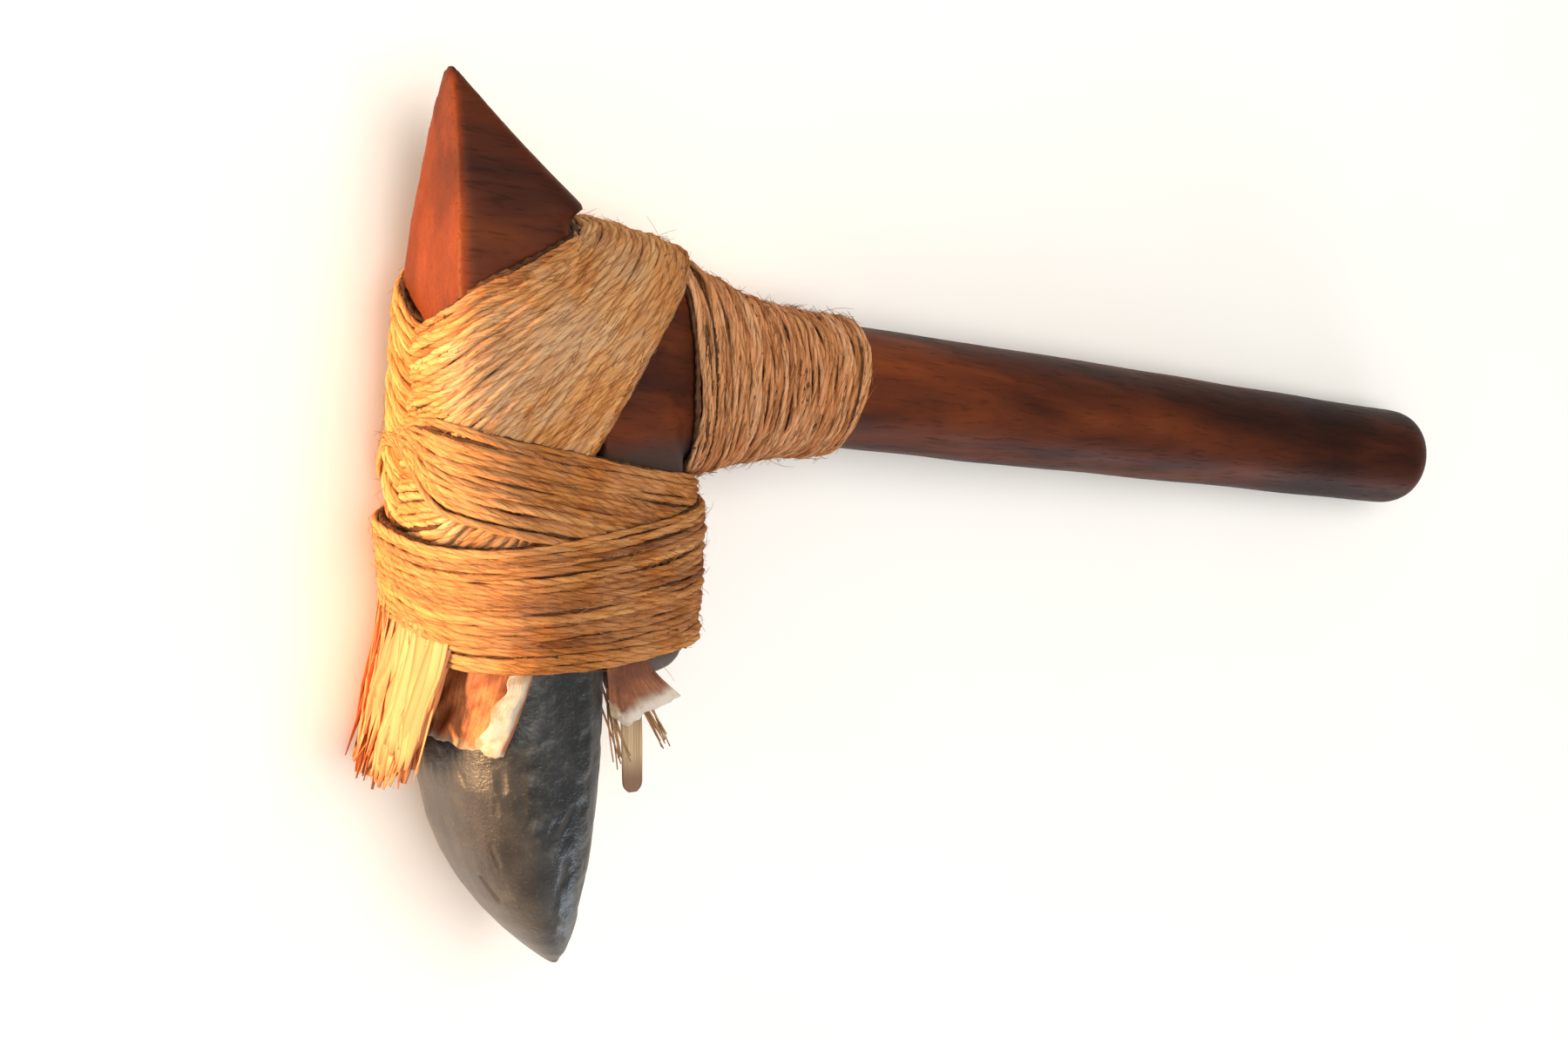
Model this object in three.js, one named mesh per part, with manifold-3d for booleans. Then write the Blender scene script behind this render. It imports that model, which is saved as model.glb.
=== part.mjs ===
// Hafted stone adze lying on its side: one-piece wooden haft, ground basalt blade, plant-cord lashing,
// dry leaf padding and loose bast fibre. Millimetres, +Z up, the haft along +X, the heel towards +Y.
import * as THREE from "three";
import { mergeVertices } from "three/addons/utils/BufferGeometryUtils.js";
import Module from "manifold-3d";

const wasm = await Module();
wasm.setup();

// The adze's own plane: x runs back from the flat front of the head, y up to the heel, z to one side.
// Its zero is the point where the middle line of the handle meets the front of the head.

// Handle and neck
const HANDLE_DROP = THREE.MathUtils.degToRad(12.2);
const HANDLE_LENGTH = 365;
const NECK_RADIUS = 19;
const BUTT_RADIUS = 15.9;
const BUTT_ROUNDING = 10;
const NECK_START = 26;
const SADDLE_RISE = 16.5;
const SADDLE_FROM = 50;
const SADDLE_TO = 108;
const THROAT_DROP = 12;
const THROAT_FROM = 70;
const THROAT_TO = 125;
const NECK_SPREAD = 4;
const NECK_SQUARENESS = 0.8;

// Head of the haft: pointed heel above, shouldered seat for the stone below, ending in the toe
const FRONT_X = -0.5;
const HEEL_Y = 75.5;
const HEEL_FOOT_Y = 18;
const HEEL_LEAN = 0.135;
const HEEL_BLUNTNESS = 0.65;
const HEEL_BACK_Y = 34;
const HEEL_BACK_DEPTH = 35;
const HEEL_BACK_CURVE = 1.12;
const HEEL_STEP = 3;
const HEAD_HALF = 20.7;
const SHOULDER_HALF = 23.5;
const SHOULDER_Y = -20;
const SEAT_X = 48.6;
const TOE_BACK_X = 71.5;
const TOE_HALF = 20.5;
const TOE_Y = -105;
const TOE_ROUNDING = 9;
const FRONT_SQUARENESS = 12;
const BACK_SQUARENESS = 6;

// Stone blade
const TANG_Y = -21;
const TANG_ROUNDING = 10;
const TANG_NARROW = 0.72;
const TANG_LENGTH = 60;
const EDGE_Y = -192.5;
const BLADE_HALF = 34;
const BLADE_FRONT_X = -5;
const BLADE_BACK_X = 45;
const BLADE_SQUARENESS = 2.5;
const GRIND_Y = -98;
const GRIND_CURVE = 3.2;
const EDGE_X = 31.5;
const EDGE_THICK = 2.4;
const SIDE_TAPER_Y = -108;

// Cord lashing: each band runs from loop 0 to loop 1 and every loop joins two points of the adze's plane
const CORD_RIDGE = 0.8;
const BAND_DEPTH = 7;
const FAN_RIDGES = 6;
const CROSS_RIDGES = 4;
const FOOT_RIDGES = 6;
const COLLAR_RIDGES = 6;
const CHEVRON_DIP = 12;
const COLLAR_HOLLOW = 4;
const COLLAR_HANG = 9;
const FIT_GAP = 0.3;

// Leaf padding and raw fibre, held under the lower edge of the lashing
const HELD_Y = -82;
const LEAF_THICK = 1;
const LEAF_DROP = 33;
const LEAF_STAND = 5;
const TUFT_THICK = 3;
const TUFT_DROP = 56;
const TUFT_SPREAD = 13;
const STRIP_DROP = 58;
const STRIP_WIDE = 6.5;

// Resting pose: lying on the foot lashing and the butt, each with a small flat spot
const REST_TILT = THREE.MathUtils.degToRad(4.03);
const REST_FLAT = 1.1;

const lerp = THREE.MathUtils.lerp;
const smooth = THREE.MathUtils.smoothstep;

// Even steps from one value to another, both ends included
function steps(from, to, count) {
  return Array.from({ length: count + 1 }, (_, i) => lerp(from, to, i / count));
}

// Quarter-circle steps that round off an end
function rounding(from, to, count) {
  return Array.from({ length: count }, (_, i) => lerp(from, to, Math.sin((Math.PI / 2) * ((i + 1) / count))));
}

// Oval direction: squareness 2 is an ellipse, larger values are squarer
function oval(angle, squareness) {
  const power = 2 / squareness;
  const bend = (v) => (Math.abs(v) < 1e-5 ? 0 : Math.sign(v) * Math.abs(v) ** power);
  return [bend(Math.cos(angle)), bend(Math.sin(angle))];
}

// A stock geometry with every vertex moved to a new place
function shaped(geometry, place) {
  const position = geometry.getAttribute("position");
  const uv = geometry.getAttribute("uv");
  for (let i = 0; i < position.count; i++) {
    const from = new THREE.Vector3().fromBufferAttribute(position, i);
    const to = place(from, uv.getX(i), uv.getY(i));
    position.setXYZ(i, to[0], to[1], to[2]);
  }
  geometry.deleteAttribute("normal");
  geometry.deleteAttribute("uv");
  return mergeVertices(geometry, 1e-4);
}

// A closed skin through cross-sections; reach is 1 on the skin and 0 in the middle of an end
function loft(stations, sides, point) {
  const last = stations.length - 1;
  const tube = new THREE.CylinderGeometry(1, 1, 1, sides, last);
  return shaped(tube, (p) => {
    const station = stations[Math.round((p.y + 0.5) * last)];
    return point(station, Math.atan2(p.z, p.x), Math.hypot(p.x, p.z));
  });
}

// Solids for the joins and cuts
function solid(geometry) {
  const vertProperties = new Float32Array(geometry.getAttribute("position").array);
  const triVerts = new Uint32Array(geometry.getIndex().array);
  return new wasm.Manifold(new wasm.Mesh({ numProp: 3, vertProperties, triVerts }));
}

function skin(body) {
  const mesh = body.getMesh();
  const geometry = new THREE.BufferGeometry();
  geometry.setAttribute("position", new THREE.BufferAttribute(new Float32Array(mesh.vertProperties), 3));
  geometry.setIndex(new THREE.BufferAttribute(new Uint32Array(mesh.triVerts), 1));
  return geometry;
}

// The main piece of a cut, without loose crumbs or closed pockets
function largest(body) {
  return body.decompose().reduce((a, b) => (a.volume() > b.volume() ? a : b));
}

// Handle and neck, lofted along the sloping middle line
function handle(grow) {
  const straightEnd = HANDLE_LENGTH - BUTT_ROUNDING;
  const stations = [
    ...steps(NECK_START, THROAT_TO, 8),
    ...steps(THROAT_TO, straightEnd, 3).slice(1),
    ...rounding(straightEnd, HANDLE_LENGTH, 4),
  ];
  return loft(stations, 24, (s, angle, reach) => {
    const past = Math.max(0, (s - straightEnd) / BUTT_ROUNDING);
    const inset = BUTT_ROUNDING * (1 - Math.sqrt(Math.max(0, 1 - past * past)));
    const taper = lerp(NECK_RADIUS, BUTT_RADIUS, smooth(s, THROAT_TO, HANDLE_LENGTH));
    const radius = taper - inset + grow;
    const near = 1 - smooth(s, SADDLE_FROM, SADDLE_TO);
    const [c, w] = oval(angle, 2 + NECK_SQUARENESS * near);
    const rise = SADDLE_RISE * near;
    const drop = THROAT_DROP * (1 - smooth(s, THROAT_FROM, THROAT_TO));
    const up = -c * reach * (radius + (c < 0 ? rise : drop));
    const along = s + grow * Math.min(1, past);
    return [
      along * Math.cos(HANDLE_DROP) + up * Math.sin(HANDLE_DROP),
      -along * Math.sin(HANDLE_DROP) + up * Math.cos(HANDLE_DROP),
      w * reach * (radius + NECK_SPREAD * near),
    ];
  });
}

// Head: heel, shoulder, seat and toe, lofted upwards
function head(grow) {
  const heelTip = HEEL_Y - 0.6;
  const stations = [
    ...rounding(TOE_Y + TOE_ROUNDING, TOE_Y, 4).reverse(),
    ...steps(TOE_Y + TOE_ROUNDING, SHOULDER_Y - 1, 2),
    ...steps(SHOULDER_Y, HEEL_BACK_Y - HEEL_STEP, 3),
    ...steps(HEEL_BACK_Y, heelTip - 5, 6),
    heelTip - 2,
    heelTip,
  ];
  return loft(stations, 32, (y, angle, reach) => {
    const below = Math.max(0, (TOE_Y + TOE_ROUNDING - y) / TOE_ROUNDING);
    const inset = TOE_ROUNDING * (1 - Math.sqrt(Math.max(0, 1 - below * below)));
    const arch = Math.max(0, (HEEL_Y - y) / (HEEL_Y - HEEL_FOOT_Y));
    const slope = Math.max(0, (HEEL_Y - y) / (HEEL_Y - HEEL_BACK_Y));
    const lean = HEEL_LEAN * Math.max(0, y - HEEL_FOOT_Y);
    const front = FRONT_X + lean;
    let back = TOE_BACK_X - inset;
    let half = lerp(HEAD_HALF, SHOULDER_HALF, smooth(HEEL_FOOT_Y - y, 0, HEEL_FOOT_Y - SHOULDER_Y));
    if (y < SHOULDER_Y) {
      half = lerp(SHOULDER_HALF, TOE_HALF, smooth(SHOULDER_Y - y, 0, SHOULDER_Y - TOE_Y)) - inset;
    }
    if (y >= HEEL_FOOT_Y) {
      half = HEAD_HALF * arch ** HEEL_BLUNTNESS;
    }
    if (y > HEEL_BACK_Y - HEEL_STEP) {
      back = HEEL_LEAN * (HEEL_Y - HEEL_FOOT_Y) + HEEL_BACK_DEPTH * slope ** HEEL_BACK_CURVE;
    } else if (y > SHOULDER_Y) {
      back = HEEL_BACK_DEPTH + 2;
    }
    const [c, w] = oval(angle, Math.cos(angle) < 0 ? FRONT_SQUARENESS : BACK_SQUARENESS);
    const middle = (front + back) / 2;
    const depth = (back - front) / 2 + grow;
    return [middle + c * depth * reach, y + grow * Math.min(1, below), w * reach * (half + grow)];
  });
}

// The haft is handle and head in one, less the corner cut out to seat the stone
function haft(grow) {
  const corner = new THREE.BoxGeometry(2 * SEAT_X, -2 * TOE_Y, 8 * SHOULDER_HALF);
  const seat = shaped(corner, (p) => [p.x - grow, p.y + TOE_Y + SHOULDER_Y - grow, p.z]);
  return solid(handle(grow)).add(solid(head(grow))).subtract(solid(seat));
}

// Stone blade: thick oval section, side edges drawing in to a curved cutting edge ground from the front
function bladeFront(y) {
  const ground = Math.max(0, (GRIND_Y - y) / (GRIND_Y - EDGE_Y));
  return lerp(BLADE_FRONT_X, EDGE_X, ground ** GRIND_CURVE);
}

function bladeBack(y) {
  const ground = Math.max(0, (GRIND_Y - y) / (GRIND_Y - EDGE_Y));
  return lerp(BLADE_BACK_X, EDGE_X + EDGE_THICK, ground ** 1.7);
}

function bladeHalf(y) {
  const taper = Math.max(0, (SIDE_TAPER_Y - y) / (SIDE_TAPER_Y - EDGE_Y));
  const tang = lerp(TANG_NARROW, 1, smooth(TANG_Y - y, 0, TANG_LENGTH));
  return BLADE_HALF * tang * Math.max(0.05, 1 - taper ** 2.5) ** 0.56;
}

function bladePoint(y, angle, reach, grow) {
  const above = Math.max(0, (y - TANG_Y + TANG_ROUNDING) / TANG_ROUNDING);
  const inset = TANG_ROUNDING * (1 - Math.sqrt(Math.max(0, 1 - above * above)));
  const [c, w] = oval(angle, BLADE_SQUARENESS);
  const middle = (bladeFront(y) + bladeBack(y)) / 2;
  const depth = (bladeBack(y) - bladeFront(y)) / 2 - inset + grow;
  return [middle + c * depth * reach, y, w * reach * (bladeHalf(y) - inset + grow)];
}

function blade(grow) {
  const stations = [
    EDGE_Y,
    ...rounding(EDGE_Y + 45, EDGE_Y + 1.5, 7).reverse(),
    ...steps(EDGE_Y + 45, TANG_Y - TANG_ROUNDING, 6),
    ...rounding(TANG_Y - TANG_ROUNDING, TANG_Y, 3),
  ];
  return solid(loft(stations, 28, (y, angle, reach) => bladePoint(y, angle, reach, grow)));
}

// A thin sheet: u runs across it, v down it from the end held under the lashing, t through its thickness
function sheet(columns, rows, place) {
  const slab = new THREE.BoxGeometry(1, 1, 1, columns, rows, 1);
  return solid(shaped(slab, (p) => place(p.x + 0.5, 0.5 - p.y, p.z + 0.5)));
}

// Sawtooth used for torn and fringed ends, 0 to 1
function torn(u, teeth) {
  return Math.abs(((u * teeth) % 1) * 2 - 1);
}

// Dry leaf wrapped on the near front corner of the stone, standing off it at its torn lower end
function frontLeaf(grow) {
  return sheet(10, 7, (u, v, t) => {
    const angle = THREE.MathUtils.degToRad(lerp(176, 108, u));
    const y = HELD_Y - v * (LEAF_DROP + 4 * torn(u + 0.2, 2) - 7 * u) + (v === 0 ? grow : 0);
    const off = lerp(0.5 - grow, 0.5 + LEAF_THICK + grow, t) + LEAF_STAND * v * v * (0.4 + 0.6 * torn(u, 1));
    return bladePoint(Math.max(y, GRIND_Y), angle, 1, off).map((q, i) => (i === 1 ? y : q));
  });
}

// Leaf end on the near side of the toe, folded to a point at the back
function backLeaf(grow) {
  return sheet(6, 7, (u, v, t) => {
    const x = lerp(46.5, lerp(60, 69, v * v), u);
    const y = HELD_Y - v * lerp(LEAF_DROP + 1, LEAF_DROP - 8, u ** 0.6) + (v === 0 ? grow : 0);
    const fold = 3 * v * torn(u * 0.9 + 0.1, 1);
    const z = lerp(22 - grow, 22 + LEAF_THICK + grow, t) + fold;
    return [x + (u === 1 ? grow : 0) - (u === 0 ? grow : 0), y, z];
  });
}

// Bunch of raw bast fibre on the far front corner, spreading outwards to a fringe
function fibreTuft(grow) {
  return sheet(10, 8, (u, v, t) => {
    const angle = THREE.MathUtils.degToRad(lerp(240, 168, u) + (u === 0 ? grow : u === 1 ? -grow : 0));
    const y = HELD_Y - v * (TUFT_DROP - 12 * torn(u + 0.25, 1) - 5 * torn(u, 5)) + (v === 0 ? grow : 0);
    const off = lerp(2 - grow, 2 + TUFT_THICK + grow, t);
    const [x, , z] = bladePoint(GRIND_Y, angle, 1, off);
    return [x - TUFT_SPREAD * v ** 1.4, y, z];
  });
}

// Pale bast strip held between stone and toe, twisting as it hangs
function bastStrip(grow) {
  return sheet(2, 9, (u, v, t) => {
    const y = HELD_Y - STRIP_DROP * v + (v === 0 ? grow : 0);
    const free = smooth(TOE_Y - 1 - y, 0, 18);
    const turn = THREE.MathUtils.degToRad(75 * free);
    const across = (u - 0.5) * (STRIP_WIDE + 2 * grow);
    const through = (t - 0.5) * (LEAF_THICK + 2 * grow);
    const x = lerp(47.3, 53.5, free) + across * Math.sin(turn) - through * Math.cos(turn);
    return [x, y, 12 + 2 * free + across * Math.cos(turn) + through * Math.sin(turn)];
  });
}

// One loop of cord: an oval from point p to point q of the adze's plane, wide by half-widths wp and wq
function loop(p, q, wp, wq, sp, sq, narrows, dip, angle, out) {
  const run = new THREE.Vector2(q[0] - p[0], q[1] - p[1]);
  const length = run.length();
  run.normalize();
  const [c, w] = oval(angle, Math.cos(angle) < 0 ? sp : sq);
  const along = (c * (length / 2 + out)) + length / 2;
  const wide = w * (lerp(wp, wq, smooth(c, narrows, narrows + 1.4)) + out);
  const sag = c < 0 ? dip * Math.abs(c) ** 8 * (1 - Math.abs(w) ** 2) : 0;
  return [p[0] + run.x * along, p[1] + run.y * along - sag, wide];
}

// A band of neighbouring loops, ridged on the outside by its cords
function band(ridges, around, place) {
  const profile = [];
  for (let i = 0; i <= 2 * ridges; i++) {
    profile.push([i / (2 * ridges), i % 2 ? 0 : -CORD_RIDGE]);
  }
  profile.push([1, -BAND_DEPTH], [0, -BAND_DEPTH]);
  const ring = new THREE.TorusGeometry(10, 1, profile.length, around);
  return solid(shaped(ring, (p, u, v) => {
    const [across, out] = profile[Math.round(v * profile.length) % profile.length];
    return place(across, 2 * Math.PI * u, out);
  }));
}

function mix(from, to, t) {
  return [lerp(from[0], to[0], t), lerp(from[1], to[1], t)];
}

// Fan of cords from the saddle behind the heel down to the front, meeting there in chevrons
function fanBand() {
  return band(FAN_RIDGES, 28, (t, angle, out) => {
    const p = mix([-4.5, 14], [-10.5, -86], t);
    const q = mix([46, 30], [75.5, 18.5], t);
    return loop(p, q, lerp(23.5, 33, t), 25.5, 6, 3, -0.9, CHEVRON_DIP * (1 - t * t), angle, out);
  });
}

// Cords crossing over the fan, from the front down to the back of the foot
function crossBand() {
  return band(CROSS_RIDGES, 26, (t, angle, out) => {
    const p = mix([-9, -20], [-11, -46], t);
    const q = mix([78, -47], [80, -74], t);
    return loop(p, q, lerp(32.5, 38, t), 26.5, 4, 3.4, -0.3, 0, angle, out);
  });
}

// Level wrapping of the foot, round the tang and the toe
function footBand() {
  return band(FOOT_RIDGES, 26, (t, angle, out) => {
    const p = mix([-12.5, -56], [-9.5, -90.5], t);
    const q = mix([81, -54], [78, -95], t);
    return loop(p, q, 39, 26.5, 2.9, 3.4, -0.1, 0, angle, out);
  });
}

// Collar round the neck, its first turns dropping to the back of the foot
function collarBand() {
  return band(COLLAR_RIDGES, 24, (t, angle, out) => {
    const p = mix([74, -49], [123.5, -48.6], t);
    const q = mix([71, 19.5], [135.5, -9], t);
    p[1] -= COLLAR_HANG * (1 - t) ** 5;
    q[1] -= COLLAR_HOLLOW * Math.sin(Math.PI * t);
    return loop(p, q, lerp(26, 21.3, t), lerp(26.5, 21.3, t), 2.3, 2.5, -0.7, 0, angle, out);
  });
}

// Resting pose as a matrix, and the ground below it as a solid in the adze's own plane
function restingPose(lowest) {
  const lift = new THREE.Matrix4().makeTranslation(0, 0, -lowest);
  return lift.multiply(new THREE.Matrix4().makeRotationY(REST_TILT));
}

function lowestOf(body) {
  const geometry = skin(body).applyMatrix4(new THREE.Matrix4().makeRotationY(REST_TILT));
  geometry.computeBoundingBox();
  return geometry.boundingBox.min.z;
}

function named(name, body, color, roughness) {
  const material = new THREE.MeshStandardMaterial({ color, roughness, metalness: 0 });
  const mesh = new THREE.Mesh(skin(body), material);
  mesh.name = name;
  return mesh;
}

const bands = fanBand().add(crossBand()).add(footBand()).add(collarBand());
const padding = frontLeaf(FIT_GAP).add(backLeaf(FIT_GAP)).add(fibreTuft(FIT_GAP)).add(bastStrip(FIT_GAP));
const lashing = largest(bands.subtract(haft(FIT_GAP)).subtract(blade(FIT_GAP)).subtract(padding));
const lowest = lowestOf(lashing) + REST_FLAT;
const pose = restingPose(lowest);
const ground = new THREE.BoxGeometry(1000, 1000, 100);
ground.translate(0, 0, -50);
const groundSkin = shaped(ground, (p) => p.toArray());
const below = solid(groundSkin.applyMatrix4(pose.clone().invert()));

const adze = new THREE.Group();
adze.add(named("haft", haft(0).subtract(below), 0x5a2f1c, 0.4));
adze.add(named("stone_blade", blade(0), 0x4a4641, 0.5));
adze.add(named("lashing", largest(lashing.subtract(below).simplify(CORD_RIDGE / 4)), 0x94703e, 0.85));
adze.add(named("leaf_pad_front", frontLeaf(0), 0xa8552a, 0.7));
adze.add(named("leaf_pad_back", backLeaf(0), 0x7c4526, 0.7));
adze.add(named("fibre_tuft", fibreTuft(0), 0xe3a152, 0.8));
adze.add(named("bast_strip", bastStrip(0), 0xb99a70, 0.8));
adze.applyMatrix4(pose);
adze.updateMatrixWorld(true);

const group = new THREE.Group();
group.name = "hafted_stone_adze";
group.add(adze);
const box = new THREE.Box3().setFromObject(group);
group.position.set(-(box.min.x + box.max.x) / 2, -(box.min.y + box.max.y) / 2, 0);
group.updateMatrixWorld(true);

export default group;
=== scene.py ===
# %% [markdown]
# # A hafted stone adze
# A thick ground stone is tied to a one-piece wooden haft with many metres of twisted plant-fibre cord.
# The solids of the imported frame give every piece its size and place. This lesson dresses them: worn wood,
# ground stone, cord wound strand by strand, and the dry leaf and raw fibre packed under the lashing.

# %% Load the frame
import math

import bpy
import numpy as np
from mathutils import Matrix, Vector, noise
from mathutils.bvhtree import BVHTree


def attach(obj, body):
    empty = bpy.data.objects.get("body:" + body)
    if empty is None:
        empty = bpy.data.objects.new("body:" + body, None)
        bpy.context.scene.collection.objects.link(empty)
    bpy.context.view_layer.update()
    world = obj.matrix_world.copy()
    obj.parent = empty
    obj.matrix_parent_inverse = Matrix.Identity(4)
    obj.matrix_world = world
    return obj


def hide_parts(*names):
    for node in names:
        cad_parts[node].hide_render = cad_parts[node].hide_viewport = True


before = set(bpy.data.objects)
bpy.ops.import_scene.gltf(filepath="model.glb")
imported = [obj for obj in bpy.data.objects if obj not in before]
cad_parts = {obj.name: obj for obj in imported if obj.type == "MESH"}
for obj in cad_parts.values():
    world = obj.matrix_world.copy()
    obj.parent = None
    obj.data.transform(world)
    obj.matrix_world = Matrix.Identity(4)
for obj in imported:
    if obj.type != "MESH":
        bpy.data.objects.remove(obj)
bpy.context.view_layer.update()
MM = 0.001
rng = np.random.default_rng(20)
print("frame nodes:", ", ".join(sorted(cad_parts)))

# %% [markdown]
# The adze lies tipped on its side, but it is easier to think of it in its own middle plane. In that plane
# x runs back from the front of the head, y runs up to the heel, and w is the distance from the plane, towards
# the side that is seen. One matrix takes a point from there, in millimetres, to where the adze lies, in metres.

# %% From the adze's own plane to where it lies
REST_TILT = math.radians(4.03)
HEAD_PLACE = Vector((-166.7347, 58.8, 39.296))

tipping = Matrix.Rotation(REST_TILT, 4, "Y")
lying = Matrix.Translation(HEAD_PLACE * MM) @ tipping @ Matrix.Scale(MM, 4)
unlying = lying.inverted()


def lerp(a, b, t):
    return a + (b - a) * t


def smooth(value, start, end):
    t = np.clip((value - start) / (end - start), 0, 1)
    return t * t * (3 - 2 * t)


def lay_down(points):
    """Rows of x, y, w in millimetres become rows of metres in the frame."""
    turned = np.array(lying)
    return np.asarray(points) @ turned[:3, :3].T + turned[:3, 3]


def stand_up(points):
    """The other way round: metres in the frame to millimetres in the adze's plane."""
    turned = np.array(unlying)
    return np.asarray(points) @ turned[:3, :3].T + turned[:3, 3]


print("front of the head lies at", [round(v, 4) for v in lying.translation])

# %% [markdown]
# The camera looks down on the lying adze from its front corner, so that the heel stands up in the picture
# and the handle runs off to the right. Its place was fitted to the edges of the heel, the handle and the lashing.

# %% Camera
VIEW_TURN = math.radians(30)
VIEW_RISE = math.radians(14)
LOOK_AT = Vector((132.5, -28.6, 0))
SLIDE_RIGHT = -16.25
SLIDE_UP = -40.09
VIEW_DISTANCE = 1000
LENS = 76.32

right = Vector((math.cos(VIEW_TURN), 0, math.sin(VIEW_TURN)))
up = Vector((
    math.sin(VIEW_RISE) * math.sin(VIEW_TURN), math.cos(VIEW_RISE), -math.sin(VIEW_RISE) * math.cos(VIEW_TURN)
))
back = right.cross(up)

camera = bpy.data.objects.new("camera", bpy.data.cameras.new("camera"))
bpy.context.scene.collection.objects.link(camera)
camera.data.lens = LENS
eye = lying @ (LOOK_AT + right * SLIDE_RIGHT + up * SLIDE_UP + back * VIEW_DISTANCE)
turn = tipping.to_3x3() @ Matrix((right, up, back)).transposed()
camera.matrix_world = Matrix.Translation(eye) @ turn.to_4x4()
bpy.context.scene.camera = camera
print("camera at", [round(v, 3) for v in eye])

# %% [markdown]
# Light makes half of the colour here. A warm lamp stands low beside the front of the head and turns the cord
# there gold, a large soft lamp hangs overhead, and a cool one behind the handle draws a thin edge on the stone.

# %% Lamps and world
CENTRE = Vector((-0.05, -0.02, 0.04))


def soft_lamp(name, place, wide, tall, power, colour):
    """A flat lamp that looks at the middle of the adze."""
    lamp = bpy.data.objects.new(name, bpy.data.lights.new(name, "AREA"))
    lamp.data.shape = "RECTANGLE"
    lamp.data.size = wide
    lamp.data.size_y = tall
    lamp.data.energy = power
    lamp.data.color = colour
    lamp.location = place
    lamp.rotation_euler = (CENTRE - lamp.location).to_track_quat("-Z", "Y").to_euler()
    bpy.context.scene.collection.objects.link(lamp)
    return lamp


soft_lamp("warm_front_lamp", Vector((-1.35, -0.02, 0.095)), 0.6, 0.13, 58, (1.0, 0.59, 0.30))
soft_lamp("overhead_lamp", Vector((-0.10, 0.30, 1.5)), 1.1, 1.1, 20, (1.0, 0.95, 0.87))
soft_lamp("edge_lamp", Vector((0.60, -0.95, 0.20)), 0.5, 0.3, 4, (0.78, 0.88, 1.0))

WORLD_GREY = (0.94, 0.92, 0.90, 1)
WORLD_STRENGTH = 0.5
world = bpy.data.worlds.new("studio")
bpy.context.scene.world = world
world.use_nodes = True
world.node_tree.nodes["Background"].inputs["Color"].default_value = WORLD_GREY
world.node_tree.nodes["Background"].inputs["Strength"].default_value = WORLD_STRENGTH
bpy.context.scene.view_settings.view_transform = "Standard"

# %% [markdown]
# A finish is a small tree of nodes. Joining nodes by hand is slow to read, so one class wraps a socket and lets
# sums on it be written as plain Python, and another owns the material and adds any other node by its type.

# %% Shader helpers


class Wire:
    """One output socket. Sums on it add Math nodes."""

    def __init__(self, finish, socket):
        self.finish = finish
        self.socket = socket

    def maths(self, operation, first, second):
        return self.finish.node("ShaderNodeMath", {"operation": operation}, {0: first, 1: second})

    def __add__(self, other):
        return self.maths("ADD", self, other)

    def __radd__(self, other):
        return self.maths("ADD", other, self)

    def __sub__(self, other):
        return self.maths("SUBTRACT", self, other)

    def __rsub__(self, other):
        return self.maths("SUBTRACT", other, self)

    def __mul__(self, other):
        return self.maths("MULTIPLY", self, other)

    def __rmul__(self, other):
        return self.maths("MULTIPLY", other, self)

    def __truediv__(self, other):
        return self.maths("DIVIDE", self, other)

    def __pow__(self, other):
        return self.maths("POWER", self, other)


class Finish:
    """A material with one Principled surface."""

    def __init__(self, name):
        self.material = bpy.data.materials.new(name)
        self.material.use_nodes = True
        self.tree = self.material.node_tree
        self.surface = self.tree.nodes["Principled BSDF"]

    def node(self, kind, settings, inputs, output=0):
        made = self.tree.nodes.new(kind)
        for key, value in settings.items():
            if key == "stops":
                self.set_stops(made.color_ramp, value)
            else:
                setattr(made, key, value)
        self.fill(made, inputs)
        return Wire(self, made.outputs[output])

    def fill(self, made, inputs):
        for key, value in inputs.items():
            if isinstance(value, Wire):
                self.tree.links.new(value.socket, made.inputs[key])
            else:
                made.inputs[key].default_value = value

    def set_stops(self, ramp, stops):
        while len(ramp.elements) < len(stops):
            ramp.elements.new(1)
        for element, (place, colour) in zip(ramp.elements, stops):
            element.position = place
            element.color = (*colour, 1)

    def ramp(self, value, stops):
        return self.node("ShaderNodeValToRGB", {"stops": stops}, {0: value})

    def rise(self, value, low, high):
        """0 below low, 1 above high, smooth between."""
        settings = {"interpolation_type": "SMOOTHSTEP"}
        return self.node("ShaderNodeMapRange", settings, {0: value, 1: low, 2: high})

    def blend(self, mask, first, second):
        settings = {"data_type": "RGBA"}
        return self.node("ShaderNodeMix", settings, {0: mask, 6: first, 7: second}, 2)

    def tint(self, mask, first, second):
        """Multiplies the first colour by the second where the mask is high."""
        settings = {"data_type": "RGBA", "blend_type": "MULTIPLY"}
        return self.node("ShaderNodeMix", settings, {0: mask, 6: first, 7: second}, 2)

    def place(self):
        return self.node("ShaderNodeTexCoord", {}, {}, 3)

    def mapped(self, vector, scale, turn=(0, 0, 0)):
        return self.node("ShaderNodeMapping", {}, {0: vector, 2: turn, 3: scale})

    def cloud(self, vector, scale, detail, rough=0.55, output=0):
        inputs = {"Vector": vector, "Scale": scale, "Detail": detail, "Roughness": rough}
        return self.node("ShaderNodeTexNoise", {}, inputs, output)

    def bump(self, height, strength, distance):
        return self.node("ShaderNodeBump", {}, {"Height": height, "Strength": strength, "Distance": distance})


def rgb(red, green, blue):
    return (red, green, blue, 1)


print("helpers ready")
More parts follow.
